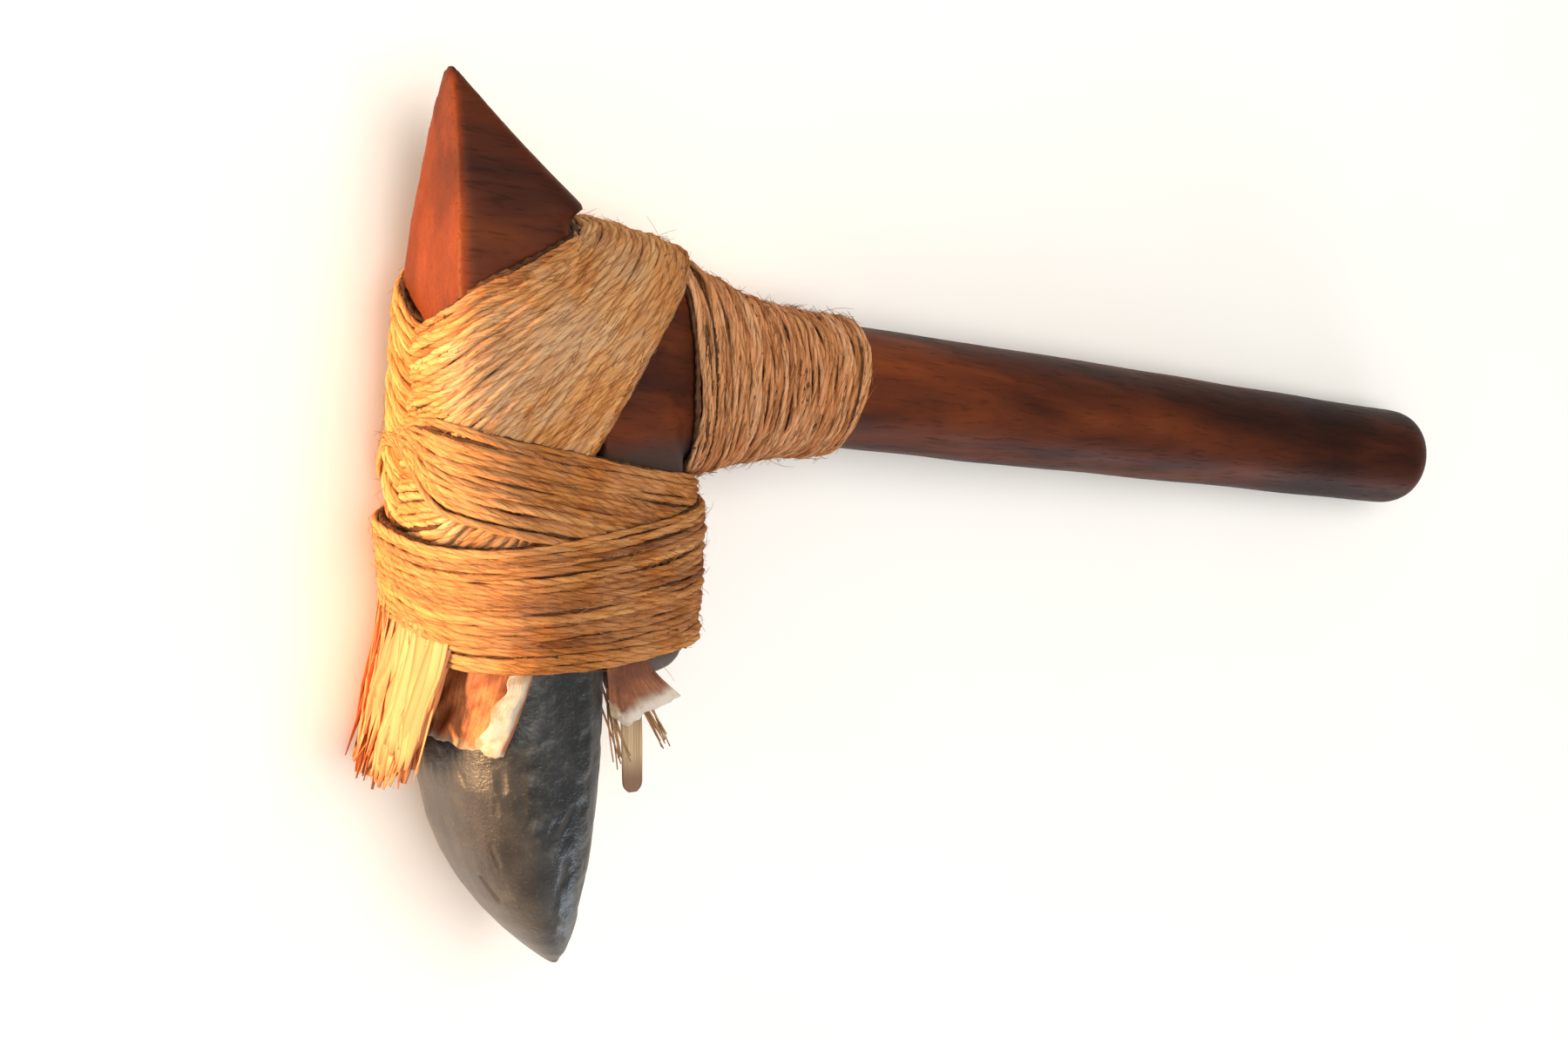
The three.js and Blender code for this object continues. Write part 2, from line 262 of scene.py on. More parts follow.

# %% [markdown]
# The wood is dark and red-brown, rubbed smooth by hands. Grain runs along the handle, which drops a little from
# the x axis, so the pattern is first turned by that angle and then stretched. The butt end is darkened by the
# grip, the front of the head is painted lighter and more orange as painted light from the warm lamp, and the wood
# just above the crossing cords is dark grey; masks by x and y place all three.

# %% Wood finish
HANDLE_DROP = math.radians(12.2)


def wood_finish():
    wood = Finish("polished_wood")
    place = wood.place()
    turned = wood.mapped(place, (1, 1, 1), (0, 0, HANDLE_DROP))
    grain = wood.mapped(turned, (10, 34, 80))
    x = wood.node("ShaderNodeSeparateXYZ", {}, {0: place}, 0)
    y = wood.node("ShaderNodeSeparateXYZ", {}, {0: place}, 1)
    broad = wood.cloud(grain, 1.0, 3, 0.5)
    streak = wood.cloud(wood.mapped(turned, (22, 150, 320)), 1.0, 5, 0.6)
    pores = wood.cloud(wood.mapped(turned, (110, 900, 900)), 1.0, 2, 0.6)
    worn = wood.cloud(place, 22, 4)
    figure = broad * 0.72 + streak * 0.28
    colour = wood.ramp(figure, [
        (0.34, (0.022, 0.006, 0.004)),
        (0.46, (0.050, 0.012, 0.005)),
        (0.57, (0.106, 0.023, 0.007)),
        (0.72, (0.185, 0.042, 0.010)),
    ])
    dark_pore = wood.rise(pores, 0.54, 0.70)
    colour = wood.tint(dark_pore * 0.45, colour, rgb(0.40, 0.34, 0.32))
    grime = wood.rise(worn, 0.50, 0.68)
    colour = wood.tint(grime * 0.45, colour, rgb(0.45, 0.42, 0.44))
    gripped = wood.rise(x, -0.02, 0.17)
    colour = wood.tint(gripped * 0.75, colour, rgb(0.42, 0.46, 0.52))
    on_heel = wood.rise(y, 0.062, 0.115)
    colour = wood.tint(on_heel * 0.55, colour, rgb(0.56, 0.52, 0.58))
    # painted light: the front face of the head is blended towards orange where the warm front lamp falls on it
    painted_warm_front = wood.rise(x, -0.158, -0.166)
    colour = wood.blend(painted_warm_front * 0.30, colour, rgb(0.260, 0.052, 0.008))
    # darker grey on the wood just above the crossing cords
    dark_grey_patch = wood.rise(y + worn * 0.012, 0.036, 0.026)
    on_head = wood.rise(x, -0.080, -0.088)
    colour = wood.blend(dark_grey_patch * on_head * 0.8, colour, rgb(0.046, 0.035, 0.031))
    on_toe = wood.rise(y, -0.010, -0.035)
    colour = wood.blend(on_toe * on_head * 0.7, colour, rgb(0.105, 0.074, 0.060))
    wood.fill(wood.surface, {
        "Base Color": colour,
        "Roughness": 0.40 + worn * 0.18 + dark_pore * 0.10,
        "Normal": wood.bump(streak * 0.7 - dark_pore * 0.5, 0.22, 0.0006),
        "Specular IOR Level": 0.10,
    })
    return wood.material


polished_wood = wood_finish()
print("finish:", polished_wood.name)

# %% [markdown]
# A copy of a solid is the start of the haft and of the stone. The solid is loose triangles with hard, even
# facets, so the copy is merged, remeshed to an even skin, smoothed, and only then given the small
# unevenness that a hand tool or a hammer stone leaves.

# %% Copying a solid to work on


def alone(piece):
    """Makes one object the only selected one, and the active one."""
    bpy.ops.object.select_all(action="DESELECT")
    piece.select_set(True)
    bpy.context.view_layer.objects.active = piece


def copied(node, name):
    """A copy of a frame node with its loose triangles merged."""
    piece = bpy.data.objects.new(name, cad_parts[node].data.copy())
    bpy.context.scene.collection.objects.link(piece)
    alone(piece)
    bpy.ops.object.mode_set(mode="EDIT")
    bpy.ops.mesh.select_all(action="SELECT")
    bpy.ops.mesh.remove_doubles(threshold=1e-6)
    bpy.ops.object.mode_set(mode="OBJECT")
    return piece


def modified(piece, kind, **settings):
    """Adds a modifier, sets it and applies it."""
    alone(piece)
    modifier = piece.modifiers.new(kind.lower(), kind)
    for key, value in settings.items():
        setattr(modifier, key, value)
    bpy.ops.object.modifier_apply(modifier=modifier.name)


def corners(piece):
    """The piece's points as rows of metres."""
    flat = np.empty(len(piece.data.vertices) * 3)
    piece.data.vertices.foreach_get("co", flat)
    return flat.reshape(-1, 3)


def outward(piece):
    """The direction that the skin faces at each point."""
    flat = np.empty(len(piece.data.vertices) * 3)
    piece.data.vertex_normals.foreach_get("vector", flat)
    return flat.reshape(-1, 3)


def put_back(piece, points):
    piece.data.vertices.foreach_set("co", np.asarray(points, dtype=float).ravel())
    piece.data.update()


def ripple(points, size, seed):
    """Smooth noise from -1 to 1 at each point, with lumps of about that size."""
    shift = Vector((seed * 7.3, seed * 3.1, seed * 5.7))
    return np.array([noise.noise(Vector(p) / size + shift) for p in points])


def dressed(piece, finish, *nodes, slot):
    """Gives a finished piece its material, its place in the frame and the nodes that it stands for."""
    piece.data.materials.clear()
    piece.data.materials.append(finish)
    alone(piece)
    bpy.ops.object.shade_smooth()
    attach(piece, "root")
    if nodes:
        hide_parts(*nodes)
    print(piece.name, "has", sum(len(p.vertices) - 2 for p in piece.data.polygons), "triangles")


# %% Haft
HAFT_VOXEL = 1.25 * MM
HAFT_LUMP = 24 * MM
HAFT_UNEVEN = 0.35 * MM
LIP_REACH = 6.5

haft = copied("haft", "wooden_haft")
modified(haft, "REMESH", mode="VOXEL", voxel_size=HAFT_VOXEL)
modified(haft, "SMOOTH", factor=0.5, iterations=4)
in_plane = stand_up(corners(haft))
on_seat = smooth(in_plane[:, 0], 53, 49) * smooth(in_plane[:, 1], -52, -46) * smooth(-in_plane[:, 1], 19, 22)
lip = on_seat * smooth(np.abs(in_plane[:, 2]), 15, 18)
in_plane[:, 0] -= LIP_REACH * lip
put_back(haft, lay_down(in_plane))
round_part = smooth(in_plane[:, 0], 70, 100)
group = haft.vertex_groups.new(name="handle")
for index, weight in enumerate(round_part):
    group.add([index], float(weight), "REPLACE")
modified(haft, "SMOOTH", factor=0.5, iterations=40, vertex_group="handle")
haft_points = corners(haft)
haft_points += outward(haft) * (ripple(haft_points, HAFT_LUMP, 1) * HAFT_UNEVEN)[:, None]
put_back(haft, haft_points)
dressed(haft, polished_wood, "haft", slot="haft_wood")

# %% [markdown]
# The stone is a dark volcanic rock. Its lower front was ground smooth and has gone brownish grey; the upper part
# and the back edge keep rough flake scars and are nearly black. A few long pits were too deep to grind away.

# %% Stone finish


def stone_finish():
    stone = Finish("ground_basalt")
    place = stone.place()
    rough_mask = stone.node("ShaderNodeAttribute", {"attribute_name": "rough"}, {}, 2)
    pit_mask = stone.node("ShaderNodeAttribute", {"attribute_name": "pit"}, {}, 2)
    mottle = stone.cloud(place, 55, 6, 0.62)
    speck = stone.cloud(place, 900, 3, 0.6)
    grit = stone.cloud(place, 230, 4, 0.6)
    crystal = stone.node("ShaderNodeTexVoronoi", {}, {"Vector": place, "Scale": 420})
    ground = stone.ramp(mottle, [
        (0.36, (0.019, 0.017, 0.015)),
        (0.52, (0.030, 0.027, 0.024)),
        (0.66, (0.048, 0.044, 0.038)),
    ])
    scar = stone.ramp(mottle, [
        (0.43, (0.003, 0.003, 0.003)),
        (0.52, (0.016, 0.016, 0.015)),
        (0.61, (0.062, 0.060, 0.055)),
    ])
    colour = stone.blend(rough_mask, ground, scar)
    grain = stone.rise(speck, 0.56, 0.74)
    colour = stone.blend(grain * 0.07, colour, rgb(0.34, 0.33, 0.31))
    dark_grain = stone.rise(crystal, 0.30, 0.12)
    colour = stone.tint(dark_grain * 0.30, colour, rgb(0.40, 0.40, 0.40))
    colour = stone.blend(pit_mask, colour, rgb(0.030, 0.026, 0.023))
    height = (mottle + grit) * rough_mask * 0.8 + speck * 0.25
    stone.fill(stone.surface, {
        "Base Color": colour,
        "Roughness": 0.28 + rough_mask * 0.06 + mottle * 0.16 + pit_mask * 0.25,
        "Normal": stone.bump(height, 0.70, 0.0010),
        "Specular IOR Level": 0.5,
    })
    return stone.material


ground_basalt = stone_finish()
print("finish:", ground_basalt.name)

# %% Stone blade
STONE_VOXEL = 0.9 * MM
PITS = [
    ((4.7, -157.5, 14.4), (9.3, -165.0, 16.4), 1.3, 0.55),
    ((3.9, -145.0, 23.5), (6.2, -151.5, 23.5), 0.8, 0.40),
    ((4.9, -122.5, 29.3), (5.4, -126.5, 29.0), 2.0, 0.50),
    ((4.0, -131.5, 27.3), (4.4, -134.5, 27.0), 1.2, 0.25),
    ((-2.4, -123.5, 17.0), (-1.8, -127.5, 19.0), 0.9, 0.35),
    ((-1.7, -141.8, 2.2), (-1.5, -143.2, 2.8), 0.8, 0.25),
    ((25.9, -134.0, 32.5), (21.0, -142.5, 31.9), 1.3, 0.30),
    ((24.9, -151.0, 30.1), (24.2, -157.5, 28.6), 1.9, 0.30),
]


def masked(piece, name, values):
    """Stores one number from 0 to 1 for each point, for the finish to read."""
    layer = piece.data.attributes.new(name, "FLOAT", "POINT")
    layer.data.foreach_set("value", np.asarray(values, dtype=float))


stone = copied("stone_blade", "stone_blade_ground")
modified(stone, "REMESH", mode="VOXEL", voxel_size=STONE_VOXEL)
modified(stone, "SMOOTH", factor=0.5, iterations=14)
stone_points = corners(stone)
plane_points = stand_up(stone_points)
x, y = plane_points.T[:2]
waver = ripple(plane_points, 16, 2) * 7 + ripple(plane_points, 6, 3) * 3
towards_back = x + 0.28 * (y + 130) + waver
waver += ripple(plane_points, 2.6, 7) * 2.5
rough = np.maximum(smooth(towards_back + waver * 0.5, 12.5, 17), 0.85 * smooth(y + waver * 1.5, -122, -114))
big_scar = ripple(plane_points, 13, 4)
small_scar = ripple(plane_points, 4.5, 5)
scars = rough * (np.maximum(0, big_scar) * 0.85 + np.maximum(0, small_scar) * 0.60)
gentle = ripple(plane_points, 30, 6) * 0.35
pit = np.zeros(len(x))
pit_depth = np.zeros(len(x))
print("stone points", len(x), "rough share", round(float(rough.mean()), 2))

# %% Pits on the ground face
for start, end, wide, deep in PITS:
    start, end = np.array(start), np.array(end)
    run = end - start
    share = np.clip((plane_points - start) @ run / (run @ run), 0, 1)
    reach = np.linalg.norm(plane_points - start - share[:, None] * run, axis=1)
    reach /= wide * (1 + 0.45 * small_scar)
    hollow = 1 - smooth(reach, 0.25, 1.0)
    pit = np.maximum(pit, hollow)
    pit_depth = np.maximum(pit_depth, hollow * deep)

inward = (gentle * 0.5 + scars + pit_depth) * MM
put_back(stone, stone_points - outward(stone) * inward[:, None])
masked(stone, "rough", rough * 0.92)
masked(stone, "pit", pit)
dressed(stone, ground_basalt, "stone_blade", slot="basalt")

# %% [markdown]
# The lashing is the main work of the adze: one long two-ply cord, wound first from the front over the saddle of
# the neck so that its turns meet in chevrons, then crossed over those, then levelled round the foot, with a collar on
# the neck. Each turn is a loop stretched over wood and stone, so its path is found as a tight string finds it: rays
# feel for the surface, and the string is the hull round what they found.

# %% Feeling for wood and stone


def feeler(*nodes):
    """A search tree of solids in the adze's plane, in millimetres."""
    points, faces = [], []
    for node in nodes:
        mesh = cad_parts[node].data
        first = len(points)
        flat = np.empty(len(mesh.vertices) * 3)
        mesh.vertices.foreach_get("co", flat)
        points += stand_up(flat.reshape(-1, 3)).tolist()
        faces += [[first + i for i in p.vertices] for p in mesh.polygons]
    return BVHTree.FromPolygons(points, faces)


core = feeler("haft", "stone_blade")
stone_feel = feeler("stone_blade")


def hull(points):
    """The convex outline round flat points, anticlockwise."""
    ordered = sorted(map(tuple, points))

    def half(run):
        kept = []
        for p in run:
            while len(kept) > 1:
                (ax, ay), (bx, by) = kept[-2], kept[-1]
                if (bx - ax) * (p[1] - ay) - (by - ay) * (p[0] - ax) > 0:
                    break
                kept.pop()
            kept.append(p)
        return kept[:-1]

    return np.array(half(ordered) + half(reversed(ordered)))


print("feelers ready")

# %% Where the bands of cord run
CHEVRON_DIP = 12.5
LOW_DIP = 7


def oval(angle, squareness):
    power = 2 / squareness
    c, s = np.cos(angle), np.sin(angle)
    return np.sign(c) * np.abs(c) ** power, np.sign(s) * np.abs(s) ** power


def fan_band(t):
    """Front point, back point, half-widths, squareness, and where the loop starts to narrow."""
    front = lerp(-4.5, -10.5, t), lerp(14, -86, t)
    back = lerp(46, 75.5, t), lerp(30, 18.5, t)
    squareness = lerp(6, 2.7, float(smooth(t, 0.56, 0.75)))
    return front, back, lerp(23.5, 33, t), 25.5, squareness, 3, -0.9


def cross_band(t):
    front = lerp(-9, -11, t), lerp(-20, -46, t)
    back = lerp(78, 80, t), lerp(-47, -74, t)
    return front, back, lerp(32.5, 38, t), 26.5, 4, 3.4, -0.3


def foot_band(t):
    front = lerp(-12.5, -9.5, t), lerp(-56, -90.5, t)
    back = lerp(81, 78, t), lerp(-54, -95, t)
    return front, back, 39, 26.5, 2.9, 3.4, -0.1


def collar_band(t):
    low = lerp(-49, -48.6, t) - 9 * (1 - t) ** 5
    high = lerp(19.5, -9, t) - 4 * math.sin(math.pi * t)
    return (lerp(74, 123.5, t), low), (lerp(71, 135.5, t), high), lerp(26, 21.3, t), lerp(26.5, 21.3, t), 2.3, 2.5, -0.7


def band_loop(shape, out):
    """The loop's plane and its outline in that plane: distance along from the front point, and w."""
    p, q, wide_p, wide_q, square_p, square_q, narrows = shape
    run = np.subtract(q, p)
    length = float(np.hypot(*run))
    angle = np.linspace(0, 2 * math.pi, 240, endpoint=False)
    c_front, w_front = oval(angle, square_p)
    c_back, w_back = oval(angle, square_q)
    ahead = np.cos(angle) < 0
    c = np.where(ahead, c_front, c_back)
    s = np.where(ahead, w_front, w_back)
    along = c * (length / 2 + out)
    wide = s * (lerp(wide_p, wide_q, smooth(c, narrows, narrows + 1.4)) + out)
    return np.array(p) + run / 2, run / length, length, along, wide


print("fan, cross, foot and collar bands")

# %% A tight loop of cord
RAYS = 160


def tight_loop(shape, out, least, most, front_most):
    """A closed path in the loop's plane that lies on wood and stone and never far above them."""
    middle, run, length, along, wide = band_loop(shape, out)
    turn = np.arctan2(wide, along)
    order = np.argsort(turn)
    reach_of_band = np.hypot(along, wide)[order]
    turns = np.linspace(-math.pi, math.pi, RAYS, endpoint=False)
    band_reach = np.interp(turns, turn[order], reach_of_band, period=2 * math.pi)
    found = []
    for a, reach in zip(turns, band_reach):
        aim = Vector((run[0] * math.cos(a), run[1] * math.cos(a), math.sin(a)))
        centre = Vector((*middle, 0))
        start = reach + 10
        hit = core.ray_cast(centre + aim * start, -aim, start)
        solid = start - hit[3] if hit[0] else 0
        room = lerp(most, front_most, float(smooth(-math.cos(a), 0.0, 0.75)))
        found.append(max(solid + least, min(reach, solid + room)))
    flat = np.stack([np.array(found) * np.cos(turns), np.array(found) * np.sin(turns)], 1)
    return middle, run, length, hull(flat)


def walked(outline, step, meet=0.0):
    """Even steps along a closed outline, from where it meets this w on the front by way of the near side."""
    closed = np.vstack([outline, outline[:1]])
    far = np.concatenate([[0], np.cumsum(np.hypot(*np.diff(closed, axis=0).T))])
    total = far[-1]
    dense = np.linspace(0, total, 1500, endpoint=False)
    points = np.stack([np.interp(dense, far, closed[:, k]) for k in (0, 1)], 1)
    front = np.argmin(np.abs(points[:, 1] - meet) + 1000 * (points[:, 0] > 0))
    points = np.roll(points, -front, axis=0)
    if points[40, 1] < meet:
        points = np.roll(points[::-1], 1, axis=0)
    count = max(12, int(round(total / step)))
    pick = (np.arange(count) * 1500 / count).astype(int)
    return points[pick], total


print("loops ready")

# %% [markdown]
# Each turn of cord is a curve with a two-lobed outline swept along it. Tilting the outline a little more at every
# point twists the two lobes round each other like the plies of a real cord. After the curves become a mesh, two
# attributes say where each point lies: along and round the cord, and a shade that differs from turn to turn.

# %% Cord maker
PLY_POINTS = 8
PLY_WAIST = 0.12


def cord_outline(name, sides, waist, flat=1.0):
    """The outline that is swept along a cord: two plies side by side."""
    curve = bpy.data.curves.new(name, "CURVE")
    spline = curve.splines.new("POLY")
    spline.points.add(sides - 1)
    for i, point in enumerate(spline.points):
        a = 2 * math.pi * i / sides
        reach = 1 - waist + waist * math.cos(2 * a)
        point.co = (reach * math.cos(a), flat * reach * math.sin(a), 0, 1)
    spline.use_cyclic_u = True
    outline = bpy.data.objects.new(name, curve)
    bpy.context.scene.collection.objects.link(outline)
    return outline


def swept(name, strands, outline):
    """One mesh from many strands: dictionaries of path (mm), radius, tilt, shade and whether it is a ring."""
    curve = bpy.data.curves.new(name, "CURVE")
    curve.dimensions = "3D"
    curve.bevel_mode = "OBJECT"
    curve.bevel_object = outline
    curve.use_fill_caps = True
    sides = len(outline.data.splines[0].points)
    a = 2 * np.pi * np.arange(sides) / sides
    lay, shade = [], []
    for strand in strands:
        path = lay_down(strand["path"])
        path[:, 2] = np.maximum(path[:, 2], np.asarray(strand["radius"]) * MM)
        count = len(path)
        spline = curve.splines.new("POLY")
        spline.points.add(count - 1)
        spline.points.foreach_set("co", np.hstack([path, np.ones((count, 1))]).ravel())
        spline.points.foreach_set("radius", np.asarray(strand["radius"]) * MM)
        spline.points.foreach_set("tilt", strand["tilt"])
        spline.use_cyclic_u = strand["ring"]
        gone = np.concatenate([[0], np.cumsum(np.linalg.norm(np.diff(strand["path"], axis=0), axis=1))])
        order = np.arange(count) if strand["ring"] else np.concatenate([[count - 1, 0], np.arange(count)])
        along = np.repeat(gone[order] * MM + strand["offset"], sides)
        lay.append(np.stack([along, np.tile(np.cos(a), len(order)), np.tile(np.sin(a), len(order))], 1))
        shade.append(np.repeat(np.asarray(strand["shade"])[order], sides))
    piece = bpy.data.objects.new(name, curve)
    bpy.context.scene.collection.objects.link(piece)
    alone(piece)
    bpy.ops.object.convert(target="MESH")
    piece = bpy.context.view_layer.objects.active
    layer = piece.data.attributes.new("lay", "FLOAT_VECTOR", "POINT")
    layer.data.foreach_set("vector", np.vstack(lay).ravel())
    masked(piece, "shade", np.concatenate(shade))
    bpy.ops.object.mode_set(mode="EDIT")
    bpy.ops.mesh.select_all(action="SELECT")
    bpy.ops.mesh.remove_doubles(threshold=1e-7)
    bpy.ops.object.mode_set(mode="OBJECT")
    return piece


two_ply = cord_outline("two_ply_outline", PLY_POINTS, PLY_WAIST)
under_ply = cord_outline("under_ply_outline", 6, 0.1)
print("cord outline of", PLY_POINTS, "points")

# %% One strand
CORD_RADIUS = 1.28
CORD_STEP = 1.35
TWIST_PITCH = 20.0


def wander(count, lumps, size):
    """A slow random wave along a strand that closes on itself."""
    at = np.linspace(0, 2 * math.pi, count, endpoint=False)
    wave = np.zeros(count)
    for k in range(1, lumps + 1):
        wave += rng.normal() * np.sin(k * at + rng.uniform(0, 6.28)) / math.sqrt(lumps)
    return wave * size


def strand_of(path, radius, ring, shade, step):
    """The sweep settings of one strand: its twist, its uneven thickness and its shade along the way."""
    count = len(path)
    pitch = TWIST_PITCH * rng.uniform(0.8, 1.25)
    turns = max(1, round(count * step / pitch))
    tilt = np.arange(count) / count * turns * 2 * math.pi + rng.uniform(0, 6.28)
    thick = radius * rng.uniform(0.92, 1.08) * (1 + wander(count, 9, 0.07))
    return {
        "path": path, "radius": thick, "tilt": tilt, "ring": ring,
        "shade": np.clip(shade + wander(count, 4, 0.10), 0, 1), "offset": rng.uniform(0, 5),
    }


def metres_of(strands):
    return round(sum(np.linalg.norm(np.diff(s["path"], axis=0), axis=1).sum() for s in strands) * MM, 1)


def in_space(middle, run, flat, outwards, sideways):
    """From the loop's plane to x, y, w, pushed outwards in the plane and sideways across it."""
    ahead = np.roll(flat, -1, axis=0) - np.roll(flat, 1, axis=0)
    ahead /= np.linalg.norm(ahead, axis=1)[:, None] + 1e-9
    out = np.stack([ahead[:, 1], -ahead[:, 0]], 1)
    out *= np.sign(np.sum(out * flat, axis=1))[:, None]
    moved = flat + out * np.asarray(outwards)[:, None]
    across = np.array([-run[1], run[0]])
    x = middle[0] + run[0] * moved[:, 0] + across[0] * sideways
    y = middle[1] + run[1] * moved[:, 0] + across[1] * sideways
    return np.stack([x, y, moved[:, 1]], 1)


print("strand radius", CORD_RADIUS, "mm, twist every", TWIST_PITCH, "mm")

# %% [markdown]
# The fan: turns from the front, over the saddle and back to the front. The near and far halves of a turn dip
# towards the middle of the front and slip between each other there, which draws the row of chevrons.

# %% Fan of cord
FAN_TURNS = 48
FAN_END = 1.06
FAN_LOW = -87.0
FRONT_HALF = 27
TUCKS = 3
TUCK_AHEAD = 1.3
TUCK_IN = np.array([0.9, 0.0, 0.0])


def tucked(path):
    """Carries both ends of a turn straight on past the meeting line and in under its neighbours."""
    first, last = path[0] - path[2], path[-1] - path[-3]
    first, last = first / np.linalg.norm(first), last / np.linalg.norm(last)
    before = [path[0] + (first * TUCK_AHEAD + TUCK_IN) * k for k in range(TUCKS, 0, -1)]
    after = [path[-1] + (last * TUCK_AHEAD + TUCK_IN) * k for k in range(1, TUCKS + 1)]
    return np.vstack([before, path, after])


def fan_strands(turns, radius, step, sink):
    strands = []
    for i in range(turns):
        t = FAN_END * np.clip((i + 0.5 + rng.normal(0, 0.16)) / turns, 0.004, 0.996)
        buried = float(smooth(t, 0.56, 0.70))
        middle, run, length, outline = tight_loop(fan_band(t), -1.3, 1.2, 2.6, lerp(12, 8, buried))
        meet = lerp(-3, -11, min(1, t / 0.6))
        flat, total = walked(outline, step, meet)
        count = len(flat)
        gone = np.arange(count) / count * total
        near, far = gone, total - gone
        dip = lerp(CHEVRON_DIP, LOW_DIP, t)
        sag = dip * np.maximum(0, np.maximum(1 - near / (FRONT_HALF - meet), 1 - far / (FRONT_HALF + meet)))
        shift = 1.1 * smooth(gone / total, 0.3, 0.7)
        behind = smooth(flat[:, 0] / length, 0.0, 0.5)
        layer = (i % 3 - 1) * 0.75 * behind + (i % 2) * 0.35 * (1 - behind)
        lift = layer - sink + wander(count, 6, 0.2)
        path = in_space(middle, run, flat, lift, wander(count, 6, 0.4) + rng.normal(0, 0.2))
        path[:, 1] = np.maximum(path[:, 1] + shift - sag, FAN_LOW)
        path[:, 0] += 0.9 * (1 - smooth(np.minimum(near, far), 0, 4.0))
        path = tucked(path)
        behind = np.concatenate([behind[:TUCKS], behind, behind[-TUCKS:]])
        made = strand_of(path, radius, False, rng.beta(2, 2), step)
        made["radius"] = made["radius"] * lerp(1.08, 0.84, behind)
        strands.append(made)
    return strands


fan_turns = fan_strands(FAN_TURNS, CORD_RADIUS, CORD_STEP, 0.0)
fan = swept("lashing_fan", fan_turns, two_ply)
print("fan of", FAN_TURNS, "turns,", metres_of(fan_turns), "m of cord")

# %% [markdown]
# The crossing band lies over the fan. Its turns are bunched on the far half of the front, spread again as they
# come round either corner, and run down to the back of the foot. The foot is then wrapped level.

# %% Crossing band and foot
CROSS_TURNS = 19
FOOT_TURNS = 30
BAND_CORD = 1.12
FOOT_RISE = 1.6
BUNCH_FROM, BUNCH_WHOLE = -33, -17
BUNCH_PRESS = 2.4


def gathered(t, path, ahead):
    """How far a crossing turn is moved along y to be bunched on the far half of the front."""
    level = lerp(-20, -46, t)
    bunched = lerp(-24.5, -28, t) - 6 * smooth(-path[:, 2], -20, 30)
    return (bunched - level) * (1 - smooth(path[:, 2], -16, 27)) * smooth(path[:, 2], BUNCH_FROM, BUNCH_WHOLE) * ahead


def ring_strands(band, turns, radius, step, rise, most, front_most, bunch=False, sink=0.0):
    strands = []
    for i in range(turns):
        t = np.clip((i + 0.5 + rng.normal(0, 0.18)) / turns, 0, 1)
        middle, run, length, outline = tight_loop(band(t), -1.3, 1.2, most, front_most)
        flat, total = walked(outline, step)
        count = len(flat)
        forward = smooth(-flat[:, 0] / length, -0.1, 0.35)
        lift = (i % 2) * 0.35 + rise * forward - sink + wander(count, 6, 0.28) + rng.normal(0, 0.12)
        path = in_space(middle, run, flat, lift, wander(count, 6, 0.5) + rng.normal(0, 0.3))
        if bunch:
            ahead = smooth(-flat[:, 0] / length, -0.3, 0.35)
            path[:, 1] += gathered(t, path, ahead)
            pressed = (1 - smooth(path[:, 2], -16, 20)) * smooth(path[:, 2], BUNCH_FROM, BUNCH_WHOLE)
            path[:, 0] += BUNCH_PRESS * pressed * ahead
        strands.append(strand_of(path, radius, True, rng.beta(2, 2), step))
    return strands


cross_turns = ring_strands(cross_band, CROSS_TURNS, BAND_CORD, CORD_STEP, 0.0, 9, 14, True)
cross = swept("lashing_cross", cross_turns, two_ply)
foot_turns = ring_strands(foot_band, FOOT_TURNS, BAND_CORD, CORD_STEP, FOOT_RISE, 30, 30)
foot = swept("lashing_foot", foot_turns, two_ply)
print("crossing band", metres_of(cross_turns), "m of cord, foot", metres_of(foot_turns), "m")

# %% Collar
COLLAR_TURNS = 56
COLLAR_CORD = 0.88

collar_turns = ring_strands(collar_band, COLLAR_TURNS, COLLAR_CORD, CORD_STEP, 0.0, 2.6, 2.6)
collar = swept("lashing_collar", collar_turns, two_ply)
print("collar of", COLLAR_TURNS, "turns,", metres_of(collar_turns), "m of cord")

# %% [markdown]
# Under the turns that show lies a plainer, lower layer of dark cord. It fills the gaps, so that no wood shows
# through where two turns part; its dark colour is painted shade.

# %% Under layer
UNDER_STEP = 4.0
UNDER_CORD = 1.7
UNDER_SINK = 1.5
UNDER_FAN, UNDER_CROSS, UNDER_FOOT, UNDER_COLLAR = 42, 13, 19, 34

under = fan_strands(UNDER_FAN, UNDER_CORD, UNDER_STEP, UNDER_SINK)
under += ring_strands(cross_band, UNDER_CROSS, UNDER_CORD, UNDER_STEP, 0.0, 9, 14, True, UNDER_SINK)
under += ring_strands(foot_band, UNDER_FOOT, UNDER_CORD, UNDER_STEP, FOOT_RISE, 30, 30, sink=UNDER_SINK)
under += ring_strands(
    collar_band, UNDER_COLLAR, COLLAR_CORD * 1.3, UNDER_STEP, 0.0, 2.6, 2.6, sink=UNDER_SINK * 0.5
)
underlay = swept("lashing_underlay", under, under_ply)
print("under layer of", len(under), "turns")

# %% [markdown]
# The cord is pale golden fibre, brown in places. Where it lies highest it is greyer, partly from dust and partly as
# painted light from above, and the brown turns are painted more golden at the front as painted light from the warm
# lamp. Fine fibres run along it, the seam between its plies and the slits between fibres are painted dark as painted
# shade, and each turn has its own tone. The fibres, the seam and each turn's tone read the two attributes, so they
# follow the twist.

# %% Cord finish


